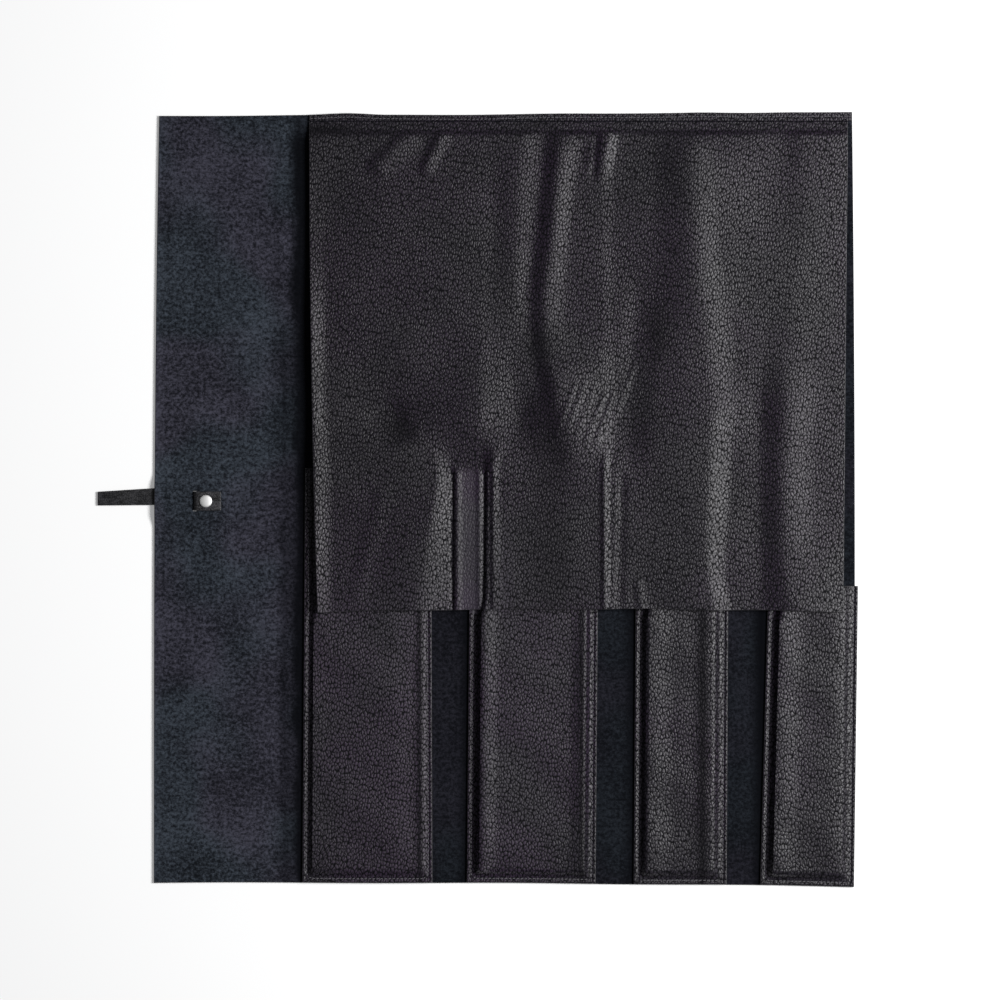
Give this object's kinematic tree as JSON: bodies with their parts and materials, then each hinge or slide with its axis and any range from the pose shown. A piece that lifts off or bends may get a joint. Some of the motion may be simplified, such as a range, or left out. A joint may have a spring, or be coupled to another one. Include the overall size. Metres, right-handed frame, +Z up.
{
  "type": "knife roll",
  "caption": "Leather knife roll opened flat: base sheet with bare closing end, sewn knife pockets, cover flap sewn along the top and riveted strap.",
  "frame": {"origin": "middle of the opened roll's footprint on the table, strap included", "axes": "+X across the roll from the strap to the last pocket, +Y from the pocket bottoms to the flap's seam, +Z up out of the pocket side"},
  "size_m": [0.4948, 0.5046, 0.0109],
  "materials": {
    "suede": "matt napped flesh side, navy black",
    "pebbled_leather": "semi-gloss pebbled grain, navy black",
    "strap_leather": "smooth, lightly waxed",
    "nickel": "polished nickel plate",
    "thread": "waxed navy black sewing thread"
  },
  "bodies": {
    "panel_1": {"base_panel_1": "suede", "pocket_1": "pebbled_leather", "flap_hem_1": "pebbled_leather"},
    "panel_2": {"base_panel_2": "suede", "pocket_2": "pebbled_leather", "flap_hem_2": "pebbled_leather"},
    "panel_3": {"base_panel_3": "suede", "pocket_3": "pebbled_leather", "flap_hem_3": "pebbled_leather"},
    "panel_4": {"base_panel_4": "suede", "pocket_4": "pebbled_leather", "flap_hem_4": "pebbled_leather"},
    "closure": {"closure_panel": "suede", "strap_anchor": "strap_leather", "rivet_cap": "nickel", "rivet_post": "nickel"},
    "strap_end": {"strap_tail": "strap_leather"},
    "flap_1": {"flap_panel_1": "pebbled_leather"},
    "flap_2": {"flap_panel_2": "pebbled_leather"},
    "flap_3": {"flap_panel_3": "pebbled_leather"},
    "flap_4": {"flap_panel_4": "pebbled_leather"}
  },
  "joints": [
    {"name": "fold_12", "type": "hinge", "parent": "panel_1", "child": "panel_2", "pos_m": [-0.0183, 0, 0.0224], "axis": [0, -1, 0], "range_deg": [0, 179.5]},
    {"name": "fold_23", "type": "hinge", "parent": "panel_2", "child": "panel_3", "pos_m": [0.089, 0, 0.01675], "axis": [0, -1, 0], "range_deg": [0, 179.5]},
    {"name": "fold_34", "type": "hinge", "parent": "panel_3", "child": "panel_4", "pos_m": [0.1728, 0, 0.0111], "axis": [0, -1, 0], "range_deg": [0, 179.5]},
    {"name": "closure_fold", "type": "hinge", "parent": "panel_1", "child": "closure", "pos_m": [-0.1192, 0, 0.0266], "axis": [0, 1, 0], "range_deg": [0, 179.5]},
    {"name": "strap_swing", "type": "hinge", "parent": "closure", "child": "strap_end", "pos_m": [-0.21095, 0, 0.0021], "axis": [0, -1, 0], "range_deg": [-90, 0]},
    {"name": "flap_lift", "type": "hinge", "parent": "panel_1", "child": "flap_1", "pos_m": [0, 0.246, 0.00355], "axis": [1, 0, 0], "range_deg": [-170, 0]},
    {"name": "flap_fold_12", "type": "hinge", "parent": "flap_1", "child": "flap_2", "pos_m": [-0.0183, 0, 0.0224], "axis": [0, -1, 0], "range_deg": [0, 179.5]},
    {"name": "flap_fold_23", "type": "hinge", "parent": "flap_2", "child": "flap_3", "pos_m": [0.089, 0, 0.01675], "axis": [0, -1, 0], "range_deg": [0, 179.5]},
    {"name": "flap_fold_34", "type": "hinge", "parent": "flap_3", "child": "flap_4", "pos_m": [0.1728, 0, 0.0111], "axis": [0, -1, 0], "range_deg": [0, 179.5]}
  ],
  "couplings": [
    {"joint": "flap_fold_12", "follows": "fold_12", "ratio": 1},
    {"joint": "flap_fold_23", "follows": "fold_23", "ratio": 1},
    {"joint": "flap_fold_34", "follows": "fold_34", "ratio": 1}
  ]
}
